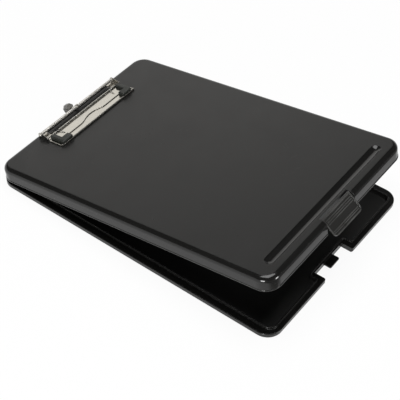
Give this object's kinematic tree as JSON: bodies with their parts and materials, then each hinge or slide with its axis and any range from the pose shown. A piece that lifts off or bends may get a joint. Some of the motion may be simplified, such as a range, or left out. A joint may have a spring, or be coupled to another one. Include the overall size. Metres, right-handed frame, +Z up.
{
  "type": "storage clipboard box",
  "caption": "Flat black document box with a hinged writing-board lid, pen groove, metal paper clip and swinging front latch, standing slightly open.",
  "frame": {"origin": "centre of the tray's underside, the face that stands on the desk", "axes": "+X across the short side, +Y towards the hinges and the paper clip, +Z up out of the tray; the lid stands 9.8 degrees open"},
  "size_m": [0.234, 0.3601, 0.079],
  "materials": {
    "black_plastic": "satin, fine grain",
    "latch_plastic": "satin",
    "black_rubber": "matte",
    "grey_plastic": "satin",
    "nickel_plate": "polished nickel",
    "spring_steel": "drawn wire",
    "dark_steel": "blackened",
    "pin_steel": "plain"
  },
  "bodies": {
    "tray": {"base_tray": "black_plastic", "hinge_pin_left": "pin_steel", "hinge_pin_right": "pin_steel"},
    "lid": {"lid_shell": "black_plastic", "latch_pin": "pin_steel", "clip_base_plate": "nickel_plate", "clip_rivet_left": "pin_steel", "clip_rivet_middle": "pin_steel", "clip_rivet_right": "pin_steel", "clip_rivet_washer_left": "pin_steel", "clip_rivet_washer_middle": "pin_steel", "clip_rivet_washer_right": "pin_steel", "clip_rear_rod": "nickel_plate", "clip_jaw_pin": "dark_steel", "clip_spring_left": "spring_steel", "clip_spring_right": "spring_steel"},
    "jaw": {"clip_jaw": "nickel_plate", "grip_corner_left": "black_rubber", "grip_corner_right": "black_rubber"},
    "latch": {"latch_tab": "latch_plastic"},
    "hanger": {"hanger_stem": "nickel_plate", "hanger_knob": "grey_plastic"}
  },
  "joints": [
    {"name": "lid_hinge", "type": "hinge", "parent": "tray", "child": "lid", "pos_m": [0, 0.17, 0.0083], "axis": [-1, 0, 0], "range_deg": [-9.8, 95]},
    {"name": "latch_pivot", "type": "hinge", "parent": "lid", "child": "latch", "pos_m": [0, -0.15766, 0.07718], "axis": [-1, 0, 0], "range_deg": [-28.2, 35]},
    {"name": "jaw_pivot", "type": "hinge", "parent": "lid", "child": "jaw", "pos_m": [0, 0.15588, 0.02703], "axis": [-1, 0, 0], "range_deg": [0, 40], "stiffness_Nm_per_rad": 0.3, "springref_deg": -28.65, "deforming": ["clip_spring_left", "clip_spring_right"]},
    {"name": "hanger_pivot", "type": "hinge", "parent": "lid", "child": "hanger", "pos_m": [0, 0.16628, 0.0267], "axis": [1, 0, 0], "range_deg": [0, 110]}
  ]
}
